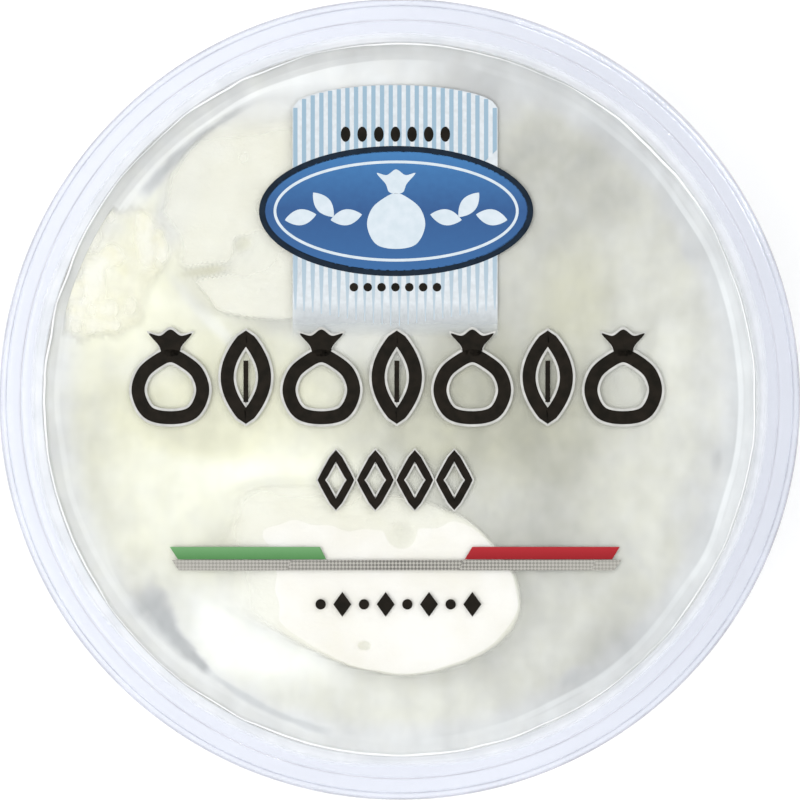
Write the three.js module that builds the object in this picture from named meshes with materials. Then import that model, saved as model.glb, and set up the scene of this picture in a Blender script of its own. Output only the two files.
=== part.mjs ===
// A shut round tub of three small burratas: a clear thin-walled tub with a wide sealing
// flange, a clear film sealed across its mouth, and three tied cheese pouches pressed
// together inside. Millimetres, +Z up, origin under the middle of the tub, where it stands.
import * as THREE from "three";

// Tub: height, mouth, ledge under the mouth, tapered wall, and the base it stands on.
const TUB_HEIGHT = 42;
const WALL = 0.7;
const MOUTH_RADIUS = 51.4;
const MOUTH_ROUND = 1;
const LEDGE_RADIUS = 49.2;
const LEDGE_DEPTH = 5.4;
const LEDGE_WIDTH = 1.1;
const LEDGE_ROUND = 0.5;
const DRAFT = 6;
const BASE_CORNER = 4;
const FOOT_WIDTH = 3.4;
const PUSH_UP = 1.6;
const TUB_SIDES = 72;

// Flange: its rolled outer edge with the skirt below it, and the groove round the seal.
const FLANGE_RADIUS = 58;
const FLANGE_THICKNESS = 0.9;
const ROLL_RADIUS = 1.1;
const SKIRT_DEPTH = 2.6;
const GROOVE_RADIUS = 54.8;
const GROOVE_HALF_WIDTH = 0.35;
const GROOVE_DEPTH = 0.2;

// Film sealed on the flange.
const FILM_RADIUS = 56.7;
const FILM_THICKNESS = 0.15;
const SEAL_GAP = 0.02;

// Burratas: what all three share. The pleats gather the skin into the tied neck, and the
// crown is the rounded bunch of skin past the tie. Each pouch keeps its clearance from what
// it is pressed against, with an edge as round as its softness, and further off than FREE
// softnesses it isn't pressed at all.
const POUCH_SIDES = 36;
const POUCH_RINGS = 28;
const PLEATS = 9;
const PLEAT_DEPTH = 0.11;
const CROWN_ROUND = 5;
const CLEARANCE = 0.3;
const SOFTNESS = 0.5;
const FREE = 30;

// Each pouch: the middle of its body; its heading, which way the neck points, in degrees;
// half its length, width and height before it is pressed; the curvature of its axis; how
// far its axis rises towards the neck; the radii of the tied waist and of the crown, and how
// far they reach past the body.
const POUCHES = [
  {
    name: "burrata_back_left",
    place: [-18, 27.2, 21.5],
    heading: 197,
    half: [22, 20, 32],
    bend: -1 / 120,
    rise: 9,
    neck: { waist: 5.5, crown: 10, length: 10 },
    unevenness: 0.4,
  },
  {
    name: "burrata_front",
    place: [-4.7, -25.6, 21.5],
    heading: 167,
    half: [29, 17, 32],
    bend: -1 / 100,
    rise: 12,
    neck: { waist: 5, crown: 8.5, length: 9 },
    unevenness: 1.9,
  },
  {
    name: "burrata_right",
    place: [31.5, -2.5, 19.5],
    heading: 84,
    half: [34, 19.5, 17.5],
    bend: -1 / 62,
    rise: -5,
    neck: { waist: 5, crown: 7.5, length: 8 },
    unevenness: 3.1,
  },
];

// The upright flat where two pouches press on each other: a point of it, and the direction,
// in degrees, in which it faces from the first pouch to the second.
const CONTACT = { first: "burrata_front", second: "burrata_right", at: [18.2, -21], facing: 28 };

const TUB_PLASTIC = new THREE.MeshStandardMaterial({
  color: 0xe9edf9,
  roughness: 0.15,
  metalness: 0,
  transparent: true,
  opacity: 0.35,
});
const LID_FILM = new THREE.MeshStandardMaterial({
  color: 0xf2f4f6,
  roughness: 0.1,
  metalness: 0,
  transparent: true,
  opacity: 0.3,
});
const CHEESE = new THREE.MeshStandardMaterial({
  color: 0xf6f3e8,
  roughness: 0.45,
  metalness: 0,
});

const { lerp, clamp, smoothstep, degToRad } = THREE.MathUtils;
const point = (radius, height) => new THREE.Vector2(radius, height);

// Points on a circular arc of a profile, angles in degrees from the +radius direction.
function arc(radius, height, size, from, to, steps) {
  return Array.from({ length: steps + 1 }, (_, i) => {
    const angle = degToRad(lerp(from, to, i / steps));
    return point(radius + size * Math.cos(angle), height + size * Math.sin(angle));
  });
}

// The rounded edge of the tub's mouth, where the flange turns down into the wall.
function mouthEdge() {
  return arc(MOUTH_RADIUS + MOUTH_ROUND, TUB_HEIGHT - MOUTH_ROUND, MOUTH_ROUND, 90, 180, 3);
}

// The tub's side below the mouth, as far outside its inner surface as out says: ledge,
// tapered wall, base corner, the flat foot and the raised middle of the base.
function wallBelowMouth(out) {
  const ledge = TUB_HEIGHT - LEDGE_DEPTH;
  const wallTop = ledge - LEDGE_ROUND;
  const cornerTop = WALL + BASE_CORNER * (1 - Math.sin(degToRad(DRAFT)));
  const cornerRadius = LEDGE_RADIUS - (wallTop - cornerTop) * Math.tan(degToRad(DRAFT));
  const cornerMiddle = cornerRadius - BASE_CORNER * Math.cos(degToRad(DRAFT));
  const footInner = cornerMiddle - FOOT_WIDTH;
  return [
    point(LEDGE_RADIUS + LEDGE_WIDTH + out, ledge + LEDGE_ROUND - out),
    point(LEDGE_RADIUS + LEDGE_WIDTH - LEDGE_ROUND + out, ledge - out),
    point(LEDGE_RADIUS + LEDGE_ROUND / 2 + out, ledge - LEDGE_ROUND / 4 - out),
    point(LEDGE_RADIUS + out, wallTop - out),
    ...arc(cornerMiddle, WALL + BASE_CORNER, BASE_CORNER + out, -DRAFT, -90, 5),
    point(footInner, WALL - out),
    point(footInner - PUSH_UP, WALL + PUSH_UP - out),
    point(0, WALL + PUSH_UP - out),
  ];
}

// Half a section of the whole tub, from the middle of its underside, up the outside, over
// the flange and down the inside.
function tubProfile() {
  const under = TUB_HEIGHT - FLANGE_THICKNESS;
  const skirtInner = FLANGE_RADIUS - FLANGE_THICKNESS;
  const skirtEnd = TUB_HEIGHT - SKIRT_DEPTH;
  return [
    ...wallBelowMouth(WALL).reverse(),
    point(MOUTH_RADIUS + WALL, under),
    point(skirtInner - LEDGE_ROUND, under),
    point(skirtInner, under - LEDGE_ROUND),
    point(skirtInner, skirtEnd),
    point(FLANGE_RADIUS, skirtEnd),
    ...arc(FLANGE_RADIUS - ROLL_RADIUS, TUB_HEIGHT - ROLL_RADIUS, ROLL_RADIUS, 0, 90, 4),
    point(GROOVE_RADIUS + GROOVE_HALF_WIDTH, TUB_HEIGHT),
    point(GROOVE_RADIUS, TUB_HEIGHT - GROOVE_DEPTH),
    point(GROOVE_RADIUS - GROOVE_HALF_WIDTH, TUB_HEIGHT),
    ...mouthEdge(),
    ...wallBelowMouth(0),
  ];
}

function filmProfile() {
  const bottom = TUB_HEIGHT + SEAL_GAP;
  const top = bottom + FILM_THICKNESS;
  return [point(0, bottom), point(FILM_RADIUS, bottom), point(FILM_RADIUS, top), point(0, top)];
}

// A profile turned round the upright axis.
function turned(profile) {
  return new THREE.LatheGeometry(profile, TUB_SIDES).rotateX(Math.PI / 2);
}

// How far a soft pouch may reach from the tub's axis at a height: to the tapered wall, but
// never past its top, so that no pouch hooks under the ledge.
function wallReach(height) {
  const base = WALL + BASE_CORNER;
  const top = TUB_HEIGHT - LEDGE_DEPTH - LEDGE_ROUND;
  const wall = LEDGE_RADIUS - (top - clamp(height, base, top)) * Math.tan(degToRad(DRAFT));
  const inCorner = clamp((base - height) / BASE_CORNER, 0, 1);
  const corner = BASE_CORNER * (1 - Math.sqrt(1 - inCorner ** 2));
  return wall - corner - 2 * CLEARANCE;
}

// value, pressed smoothly against an upper limit; far below the limit it stays as it is.
function pressed(value, limit) {
  const room = (limit - value) / SOFTNESS;
  return room > FREE ? value : limit - SOFTNESS * Math.log1p(Math.exp(room));
}

// Moves a point of a pouch to where its neighbour, the film, the base and the wall let it be.
function pressIntoTub(p, name) {
  const side = { [CONTACT.first]: 1, [CONTACT.second]: -1 }[name] ?? 0;
  const facing = degToRad(CONTACT.facing);
  const towards = new THREE.Vector3(Math.cos(facing), Math.sin(facing), 0).multiplyScalar(side);
  if (side !== 0) {
    const limit = towards.x * CONTACT.at[0] + towards.y * CONTACT.at[1] - CLEARANCE / 2;
    const reach = p.dot(towards);
    p.addScaledVector(towards, pressed(reach, limit) - reach);
  }
  p.z = pressed(p.z, TUB_HEIGHT - CLEARANCE);
  p.z = -pressed(-p.z, -(WALL + PUSH_UP + CLEARANCE));
  const distance = Math.hypot(p.x, p.y);
  const share = pressed(distance, wallReach(p.z)) / distance;
  p.x *= share;
  p.y *= share;
}

// The radius of a pouch at a place along its axis, as a share of the body's half width: an
// ellipse for the body, run together with the tied waist and the rounded crown past it.
function pouchRadius(along, [halfLength, halfWidth], neck) {
  const end = halfLength + neck.length;
  const body = Math.sqrt(Math.max(0, 1 - (along / halfLength) ** 2));
  const flare = smoothstep(along, halfLength * 0.96, end - neck.length * 0.4);
  const pastRound = Math.max(0, (along - end + CROWN_ROUND) / CROWN_ROUND);
  const tip = Math.sqrt(Math.max(0, 1 - pastRound ** 2));
  const start = smoothstep(along, halfLength * 0.55, halfLength * 0.95);
  const tied = (lerp(neck.waist, neck.crown, flare) / halfWidth) * tip * start;
  return (body ** 4 + tied ** 4) ** 0.25;
}

// A tied pouch, worked out from a sphere whose poles are the ends of the pouch's axis: a
// vertex keeps its angle round the axis and gets the pouch's radius, pleated towards the
// neck. The axis bends round the tub and rises to the neck, and all is pressed into the tub.
function pouchGeometry({ name, place, heading, half, bend, rise, neck, unevenness }) {
  const [halfLength, halfWidth, halfHeight] = half;
  const geometry = new THREE.SphereGeometry(1, POUCH_SIDES, POUCH_RINGS);
  const positions = geometry.getAttribute("position");
  const ahead = new THREE.Vector3(Math.cos(degToRad(heading)), Math.sin(degToRad(heading)), 0);
  const across = new THREE.Vector3(ahead.y, -ahead.x, 0);
  const reach = halfLength + neck.length / 2;
  for (let i = 0; i < positions.count; i++) {
    const along = neck.length / 2 + reach * positions.getY(i);
    const round = Math.atan2(positions.getZ(i), positions.getX(i));
    const gathered = smoothstep(along, halfLength * 0.25, halfLength);
    const wander = Math.sin(2 * round + unevenness);
    const pleat = 1 + PLEAT_DEPTH * gathered * Math.cos(PLEATS * round + wander);
    const lump = 1 + 0.025 * Math.sin(3 * round + along / 6 + unevenness);
    const radius = pouchRadius(along, half, neck) * pleat * lump;
    // The body is taller than wide, but its neck is round.
    const tall = lerp(halfHeight, halfWidth, smoothstep(along, halfLength * 0.5, halfLength));
    const side = radius * halfWidth * Math.cos(round);
    const turn = bend * along;
    const forward = bend === 0 ? along : Math.sin(turn) / bend;
    const drift = bend === 0 ? 0 : (1 - Math.cos(turn)) / bend;
    const p = new THREE.Vector3(...place)
      .addScaledVector(ahead, forward - side * Math.sin(turn))
      .addScaledVector(across, drift + side * Math.cos(turn));
    p.z += radius * tall * Math.sin(round);
    p.z += rise * smoothstep(along, halfLength * 0.3, halfLength + neck.length);
    pressIntoTub(p, name);
    positions.setXYZ(i, p.x, p.y, p.z);
  }
  geometry.computeVertexNormals();
  return geometry;
}

function named(name, geometry, material) {
  const mesh = new THREE.Mesh(geometry, material);
  mesh.name = name;
  return mesh;
}

const burrataTub = new THREE.Group();
burrataTub.add(named("tub", turned(tubProfile()), TUB_PLASTIC));
burrataTub.add(named("lid_film", turned(filmProfile()), LID_FILM));
for (const pouch of POUCHES) {
  burrataTub.add(named(pouch.name, pouchGeometry(pouch), CHEESE));
}

export default burrataTub;
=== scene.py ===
"""The looks of a shut tub of three small burratas in whey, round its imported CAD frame.

Sizes in this file are millimetres, in the frame's own axes: +Z up, +Y to the back, origin
under the middle of the tub. A mesh goes into metres as it is made.
"""
import math

import bpy
import numpy as np
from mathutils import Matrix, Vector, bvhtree


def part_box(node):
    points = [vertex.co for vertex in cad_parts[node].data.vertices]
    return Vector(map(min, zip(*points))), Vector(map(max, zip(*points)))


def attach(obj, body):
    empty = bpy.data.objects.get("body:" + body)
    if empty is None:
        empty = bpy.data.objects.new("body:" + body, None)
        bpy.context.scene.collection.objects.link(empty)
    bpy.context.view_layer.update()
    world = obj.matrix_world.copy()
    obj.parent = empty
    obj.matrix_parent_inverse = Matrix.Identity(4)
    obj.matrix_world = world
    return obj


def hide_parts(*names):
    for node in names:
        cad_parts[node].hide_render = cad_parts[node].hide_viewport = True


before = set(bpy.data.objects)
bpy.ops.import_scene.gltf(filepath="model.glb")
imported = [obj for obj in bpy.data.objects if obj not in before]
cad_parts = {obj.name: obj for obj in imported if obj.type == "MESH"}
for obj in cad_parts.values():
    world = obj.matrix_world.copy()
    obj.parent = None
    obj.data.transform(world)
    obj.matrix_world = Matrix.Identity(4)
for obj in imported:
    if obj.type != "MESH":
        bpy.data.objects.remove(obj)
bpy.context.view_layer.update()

MM = 0.001
TURN = 2 * math.pi
QUARTER = math.pi / 2

# From the frame: the tub's flange, and the film's rim and faces.
FLANGE_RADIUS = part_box("tub")[1].x / MM
FILM_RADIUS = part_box("lid_film")[1].x / MM
FILM_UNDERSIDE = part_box("lid_film")[0].z / MM
FILM_TOP_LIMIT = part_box("lid_film")[1].z / MM
SEAL_GAP = 0.02
TUB_HEIGHT = FILM_UNDERSIDE - SEAL_GAP

# Tub: the same section as the frame's.
WALL = 0.7
MOUTH_RADIUS = 51.4
MOUTH_ROUND = 1.0
MOUTH_MIDDLE = (MOUTH_RADIUS + MOUTH_ROUND, TUB_HEIGHT - MOUTH_ROUND)
LEDGE_RADIUS = 49.2
LEDGE_DEPTH = 5.4
LEDGE_WIDTH = 1.1
LEDGE_ROUND = 0.5
DRAFT = math.radians(6)
BASE_CORNER = 4.0
FOOT_WIDTH = 3.4
PUSH_UP = 1.6
FLANGE_THICKNESS = 0.9
ROLL_RADIUS = 1.1
SKIRT_DEPTH = 2.6
GROOVE_RADIUS = 54.8
GROOVE_HALF_WIDTH = 0.35
GROOVE_DEPTH = 0.2
TUB_SIDES = 288

# Film, print and whey: how they lie one above the other under the film's highest point.
FILM_LEVEL = FILM_TOP_LIMIT - 0.06
FILM_RIPPLE = 0.01
INK_LIFT = 0.003
INK_LAYER = 0.012
INK_THICKNESS = 0.009
WHEY_LEVEL = TUB_HEIGHT - 0.45
WHEY_IN_WALL = 0.25
WHEY_RINGS = 150
WHEY_EDGE_RINGS = 50
WHEY_SIDES = 420

# Burratas: the frame's pouches, with the same driving sizes.
CLEARANCE = 0.3
SOFTNESS = 0.5
PLEATS = 9
PLEAT_DEPTH = 0.11
CROWN_ROUND = 5.0
CONTACT = dict(first="burrata_front", second="burrata_right", at=(18.2, -21), facing=28)
POUCHES = [
    dict(name="burrata_back_left", place=(-18, 27.2, 21.5), heading=197, half=(22, 20, 32),
         bend=-1 / 120, rise=9, waist=5.5, crown=10, neck=10, unevenness=0.4, curds=1.5),
    dict(name="burrata_front", place=(-4.7, -25.6, 21.5), heading=167, half=(29, 17, 32),
         bend=-1 / 100, rise=12, waist=5, crown=8.5, neck=9, unevenness=1.9, curds=0.7),
    dict(name="burrata_right", place=(31.5, -2.5, 19.5), heading=84, half=(34, 19.5, 17.5),
         bend=-1 / 62, rise=-5, waist=5, crown=7.5, neck=8, unevenness=3.1, curds=0.5),
]
POUCH_SIDES = 300
POUCH_RINGS = 260

# Folds in the skin near the lid: each runs from a point to another, drops by a depth on its
# left-hand side, and comes back up over a fade. Slits and pits: the ellipse each lies in, as
# its middle, half length, half width and turn in degrees, and its depth.
FOLDS = [
    ((-35, 17), (-28.5, 8.6), 0.5, 1.6),
    ((-26, 8), (-29.5, 17), 0.6, 3.0),
    ((-20.5, 24.5), (-25, 18.6), 0.25, 2.5),
    ((-31, 20.5), (-35, 27.5), 0.35, 2.5),
    ((-34.5, -12), (-33, -20.5), 0.5, 1.8),
    ((-41, -9), (-36.5, -6), 0.4, 2.4),
]
SLITS = [
    (-28.3, 18.5, 3.5, 0.5, 9, 1.6),
    (-22.7, 22.4, 1.0, 0.8, 0, 0.9),
    (0.3, -19.7, 2.0, 2.0, 0, 0.3),
    (-5.1, -35.6, 0.9, 0.6, 0, 0.4),
    (-38.4, -14, 2.4, 1.7, 60, 0.8),
]

# Where the cheese sags off the lid and the whey runs over it: ellipse and depth.
SAGS = [
    (-12, 30, 36, 19, 0, 0.32),
    (-12, -9, 26, 8, -6, 0.36),
    (-34, -29, 13, 17, 0, 0.6),
    (-18, -37.5, 14, 3.6, -28, 0.5),
    (-20, 44, 16, 4, 6, 0.4),
]

# Loose curd at the back left burrata's open end.
CURDS = dict(middle=(-41.6, 18.6), half=(11.6, 7.2), turn=64, thick=1.6)

# Tones in the whey, laid one over the other: ellipse, how pale and how yellow. Some are cream
# drifted in it; the darker ones are painted shade, in the gap between the three burratas, in
# the slits and by the wall, and the palest are painted light over cheese that lies in shade.
DRIFTS_AND_SHADING = [
    (12, -1, 22, 12, -8, 0.03, 0.85),
    (5.5, -5.5, 5, 3.5, 0, 0.32, 0.9),
    (20, 30, 13, 11, 0, 0.18, 0.5),
    (38, -1, 29, 8, 93, 0.62, 0.5),
    (32, -12, 9, 6, 70, 0.46, 0.55),
    (46, 0, 24, 4, 90, 0.52, 0.35),
    (43, -15, 7, 4, 72, 0.42, 0.3),
    (25, 14, 9, 6, 80, 0.35, 0.85),
    (20, -19, 7, 7, 0, 0.13, 0.5),
    (18, -37, 15, 8, 30, 0.41, 0.45),
    (30, -38, 8, 5, 40, 0.24, 0.45),
    (-29, 0, 25, 17, -12, 0.70, 1.0),
    (-39, 7, 9, 6, 0, 0.72, 0.65),
    (-19, 29, 25, 19, -10, 0.94, 0.5),
    (-2, 24, 9, 17, 0, 0.86, 0.25),
    (-7, 10, 13, 5, -14, 0.64, 0.45),
    (-19, -14, 24, 9, -8, 1.2, 0.7),
    (-29, -4.5, 9, 4, -10, 0.66, 1.2),
    (-33, -20, 13, 11, -20, 0.86, 0.7),
    (-33, -35, 13, 8, -45, 0.58, 0.35),
    (-17, -38, 16, 7, -24, 1.05, 0.35),
    (-24.5, -33, 7.5, 5, -42, 1.1, 0.3),
    (-19.5, -32.5, 9, 6, -30, 1.25, 0.35),
    (-46.5, -4, 24, 5, 89, 0.60, 0.75),
    (-8, -46, 28, 7, 2, 0.66, 0.5),
    (-14, 46, 22, 6, 3, 0.95, 0.15),
    (12, 45, 8, 5, -12, 0.31, 0.15),
    (-35, 34, 12, 9, 45, 0.86, 0.4),
    (-40, 17, 15, 11, 64, 0.98, 0.85),
    (-28.0, 12.2, 8, 1.1, -47, 0.80, 0.5),
    (-33, 26, 7, 3, 64, 0.78, 0.3),
    (-28.3, 18.5, 3.8, 0.6, 9, 0.45, 1.0),
    (-22.7, 22.4, 1.4, 1.0, 30, 0.66, 0.8),
    (41.9, 21.6, 1.2, 2.2, 20, 0.36, 0.2),
    (45.8, -9.2, 0.8, 2.0, -10, 0.30, 0.2),
    (43.8, -17.9, 1.0, 2.4, -25, 0.34, 0.2),
    (25.1, -40.1, 2.2, 1.2, 30, 0.16, 0.2),
    (36.5, 9, 0.9, 6, -12, 0.44, 0.5),
    (33.5, -22, 4.5, 0.9, -52, 0.34, 0.4),
]

# Slivers of painted shade by the wall, where shade falls in the gaps, some with air under the lid:
# the angles each runs between, its radius and half width at each end, how pale it is and how deep
# the whey dips there.
SHADE_SLIVERS = [
    ((214.5, 236), (45.9, 48.1), (2.9, 0.35), 0.06, 0.2),
    ((233, 259), (48.0, 49.3), (0.5, 0.6), 0.38, 0.0),
    ((115, 142.5), (47.8, 47.4), (0.35, 1.1), 0.32, 0.0),
]

# Painted shade in places round the wall's top: angle in radians, breadth, and by how much darker.
WALL_SHADES = [(-0.79, 0.35, 0.34), (-1.65, 0.4, 0.10), (1.0, 0.45, 0.17)]


# ---- shapes in numpy


def smooth_step(value, low, high):
    """0 up to low, 1 from high on, and t*t*(3 - 2*t) between, t being the share of the way."""
    t = np.clip((value - low) / (high - low), 0, 1)
    return t * t * (3 - 2 * t)


def blend(first, second, share):
    """first at share 0, second at share 1, and in proportion between."""
    return first + (second - first) * share


def heading_of(degrees):
    """The level direction at an angle from +X."""
    return np.array([math.cos(math.radians(degrees)), math.sin(math.radians(degrees))])


def lumps(points, size, seed):
    """Smooth noise from -1 to 1: random values on a cubic lattice size apart, each point
    blending the eight nearest by smooth steps."""
    lattice = np.random.default_rng(seed).uniform(-1, 1, (32, 32, 32))
    scaled = points / size
    cell = np.floor(scaled).astype(int)
    share = smooth_step(scaled - cell, 0, 1)
    total = np.zeros(points.shape[:-1])
    for corner in np.ndindex(2, 2, 2):
        weight = np.where(corner, share, 1 - share).prod(-1)
        at = (cell + corner) % 32
        total += weight * lattice[at[..., 0], at[..., 1], at[..., 2]]
    return total


def within(x, y, middle_x, middle_y, half_length, half_width, turn):
    """How far out a place is in a turned ellipse: 0 at its middle and 1 on its edge."""
    ahead = heading_of(turn)
    from_x, from_y = x - middle_x, y - middle_y
    along = (from_x * ahead[0] + from_y * ahead[1]) / half_length
    across = (from_y * ahead[0] - from_x * ahead[1]) / half_width
    return np.hypot(along, across)


def points_of(*coordinates):
    """Points from their coordinates, each an array or one number for all of them."""
    return np.stack(np.broadcast_arrays(*coordinates), -1)


def round_turn(steps):
    """Angles evenly round a whole turn."""
    return np.arange(steps) * TURN / steps


def arc(radius, height, size, start, end, steps):
    """Points on a circle of a section, at angles from start to end in radians."""
    angle = np.linspace(start, end, steps)
    return points_of(radius + size * np.cos(angle), height + size * np.sin(angle))


def circling(angle, radius, height):
    """Points at angles round the upright axis, at a radius and a height."""
    return points_of(radius * np.cos(angle), radius * np.sin(angle), height)


def ring_faces(rings, sides, joined):
    """Quads from each ring of points to the next, and from the last to the first if joined."""
    ring, side = np.indices((rings if joined else rings - 1, sides))
    here, above = ring * sides, (ring + 1) % rings * sides
    beside = (side + 1) % sides
    corners = points_of(here + side, here + beside, above + beside, above + side)
    return corners.reshape(-1, 4)


def fan_faces(first, sides, pole):
    """Triangles from a ring's points to a pole point."""
    side = np.arange(sides)
    return points_of(first + side, first + (side + 1) % sides, pole)


def enclosed(points, faces):
    """Six times the volume inside the faces, from each one's corners' triple product."""
    first = points[faces[:, 0]]
    total = 0
    for k in range(1, faces.shape[1] - 1):
        normal = np.cross(points[faces[:, k]], points[faces[:, k + 1]])
        total += np.einsum("ij,ij->i", first, normal).sum()
    return total


def closed(grid, joined=False):
    """Points and outward faces of a grid of rings by sides. Joined, the last ring meets the
    first; otherwise a fan to its own middle closes each end ring."""
    rings, sides = grid.shape[:2]
    points = grid.reshape(-1, 3)
    quads = ring_faces(rings, sides, joined)
    fans = np.empty((0, 3), int)
    if not joined:
        points = np.concatenate([points, grid[[0, -1]].mean(1)])
        start = fan_faces(0, sides, rings * sides)[:, ::-1]
        fans = np.concatenate([start, fan_faces((rings - 1) * sides, sides, rings * sides + 1)])
    middle = points - points.mean(0)
    if enclosed(middle, quads) + enclosed(middle, fans) < 0:
        quads, fans = quads[:, ::-1], fans[:, ::-1]
    return points, quads.tolist() + fans.tolist()


def together(parts):
    """The points and faces of several closed parts as one."""
    points, faces, total = [], [], 0
    for part_points, part_faces in parts:
        points.append(part_points)
        faces += [[total + corner for corner in face] for face in part_faces]
        total += len(part_points)
    return np.concatenate(points), faces


def in_scene(name, data):
    """An object that holds the data, linked into the scene."""
    made = bpy.data.objects.new(name, data)
    bpy.context.collection.objects.link(made)
    return made


def piece(name, parts, material, smooth=True):
    """One object of the root body from closed parts, each a pair of points and faces."""
    points, faces = together(parts)
    mesh = bpy.data.meshes.new(name)
    mesh.from_pydata((points * MM).tolist(), [], faces)
    mesh.polygons.foreach_set("use_smooth", np.full(len(faces), smooth))
    mesh.materials.append(material)
    made = in_scene(name, mesh)
    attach(made, "root")
    return made


def mark(made, joined=False, **marks):
    """Gives a piece of one grid named values for its points, its end middles included."""
    for name, values in marks.items():
        ends = [] if joined else values[[0, -1]].mean(1)
        kept = made.data.attributes.new(name, "FLOAT", "POINT")
        kept.data.foreach_set("value", np.append(values.ravel(), ends).astype(np.float32))


def turned(section, sides):
    """A section of radius and height turned round the upright axis."""
    return circling(round_turn(sides), section[:, :1], section[:, 1:])


# ---- finishes


class Finish:
    """A material under construction: nodes are added by kind, and linked or set by name."""

    def __init__(self, name):
        self.material = bpy.data.materials.new(name)
        self.material.use_nodes = True
        self.tree = self.material.node_tree
        self.tree.nodes.clear()
        self.out = self.node("OutputMaterial")
        self.where = self.node("TexCoord").outputs["Object"]

    def node(self, kind, settings=(), **inputs):
        """A shader node with its settings, and each named input linked or set."""
        made = self.tree.nodes.new("ShaderNode" + kind)
        for key, value in dict(settings).items():
            setattr(made, key, value)
        for key, value in inputs.items():
            self.feed(made.inputs[key.replace("_", " ")], value)
        return made

    def feed(self, socket, value):
        """Links a socket to an input, or sets the input to a plain value."""
        if isinstance(value, bpy.types.NodeSocket):
            self.tree.links.new(value, socket)
        elif socket.type == "RGBA" and len(value) == 3:
            socket.default_value = (*value, 1)
        else:
            socket.default_value = value

    def fed(self, made, *values):
        """A node's first output, with its inputs fed in their order."""
        for socket, value in zip(made.inputs, values):
            self.feed(socket, value)
        return made.outputs[0]

    def mark(self, name):
        """The value a piece's points carry under that name."""
        return self.node("Attribute", {"attribute_name": name}).outputs["Fac"]

    def shader(self, kind, **inputs):
        """The light a surface of that kind gives back, for its named inputs."""
        return self.node("Bsdf" + kind, **inputs).outputs[0]

    def noise(self, size, stretch=(1, 1, 1), turn=0, detail=3):
        """Fine noise with features of that size in millimetres, longer along an axis whose
        stretch is above 1, turned about the upright axis."""
        scale = [1 / s for s in stretch]
        place = self.node("Mapping", Vector=self.where, Scale=scale, Rotation=(0, 0, turn))
        made = self.node("TexNoise", Vector=place.outputs[0], Scale=1 / (size * MM), Detail=detail)
        return made.outputs["Fac"]

    def math(self, operation, *values):
        """A sum, product and the like of sockets and plain values."""
        return self.fed(self.node("Math", {"operation": operation}), *values)

    def ramp(self, factor, *stops):
        """Colours or greys along a factor, as pairs of place and colour."""
        made = self.node("ValToRGB", Fac=factor)
        line = made.color_ramp.elements
        for k, (place, colour) in enumerate(stops):
            stop = line[k] if k < 2 else line.new(place)
            stop.position = place
            stop.color = (*colour, 1)
        return made.outputs["Color"]

    def between(self, share, first, second, how="MIX"):
        """One colour where share is 0 and the other, or their product, where it is 1."""
        made = self.node("Mix", {"data_type": "RGBA", "blend_type": how})
        for k, value in ((0, share), (6, first), (7, second)):  # 6 and 7 take colours
            self.feed(made.inputs[k], value)
        return made.outputs[2]

    def up_the_lid(self, low, high):
        """0 at one height on the lid and below it, and 1 at another and above it."""
        up = self.node("SeparateXYZ", Vector=self.where).outputs["Y"]
        return self.node("MapRange", Value=up, From_Min=low * MM, From_Max=high * MM).outputs[0]

    def bump(self, height, depth):
        """A normal from a height, depth millimetres deep."""
        return self.node("Bump", Height=height, Distance=depth * MM, Strength=1.0).outputs[0]

    def mixed(self, share, first, second):
        """One shader where share is 0 and the other where it is 1."""
        return self.fed(self.node("MixShader"), share, first, second)

    def surface(self, shader):
        """The material, once its surface is the shader."""
        self.feed(self.out.inputs["Surface"], shader)
        return self.material

    def satin(self, colour):
        """The material as a colour with a faint satin."""
        return self.surface(self.shader("Principled", Base_Color=colour, Roughness=0.4,
                                        Specular_IOR_Level=0.1))

    def film_of(self, share, colour):
        """The material as matt colour where share is 1, and nothing where it is 0."""
        clear = self.shader("Transparent", Color=grey(1.0))
        return self.surface(self.mixed(share, clear, self.shader("Diffuse", Color=colour)))


def grey(value):
    """A colour without hue."""
    return (value, value, value)


def cheese_finish(name, light):
    """Moist stretched-curd skin: white with cream clouds and creamier curds, fine fibres,
    and as light a white as its share says."""
    f = Finish(name)
    colours = [(0.80, 0.78, 0.71), (0.85, 0.838, 0.795), (0.82, 0.79, 0.64), (0.85, 0.83, 0.77)]
    dull, white, yellow, pale = (tuple(c * light for c in colour) for colour in colours)
    cloud = f.math("MULTIPLY_ADD", f.noise(14, detail=1), 0.6, f.math("MULTIPLY", f.noise(4), 0.4))
    skin = f.ramp(cloud, (0.36, dull), (0.58, white))
    curd = f.ramp(f.noise(2.2), (0.35, yellow), (0.62, pale))
    colour = f.between(f.mark("cream"), skin, curd)
    wet = f.ramp(f.noise(5), (0.3, grey(0.30)), (0.7, grey(0.45)))
    fibres = f.math("ADD", f.noise(1.4, stretch=(3, 0.6, 1), turn=0.5), f.noise(0.5))
    return f.surface(f.shader("Principled", Base_Color=colour, Roughness=wet, IOR=1.36,
                              Normal=f.bump(fibres, 0.06)))


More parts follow.
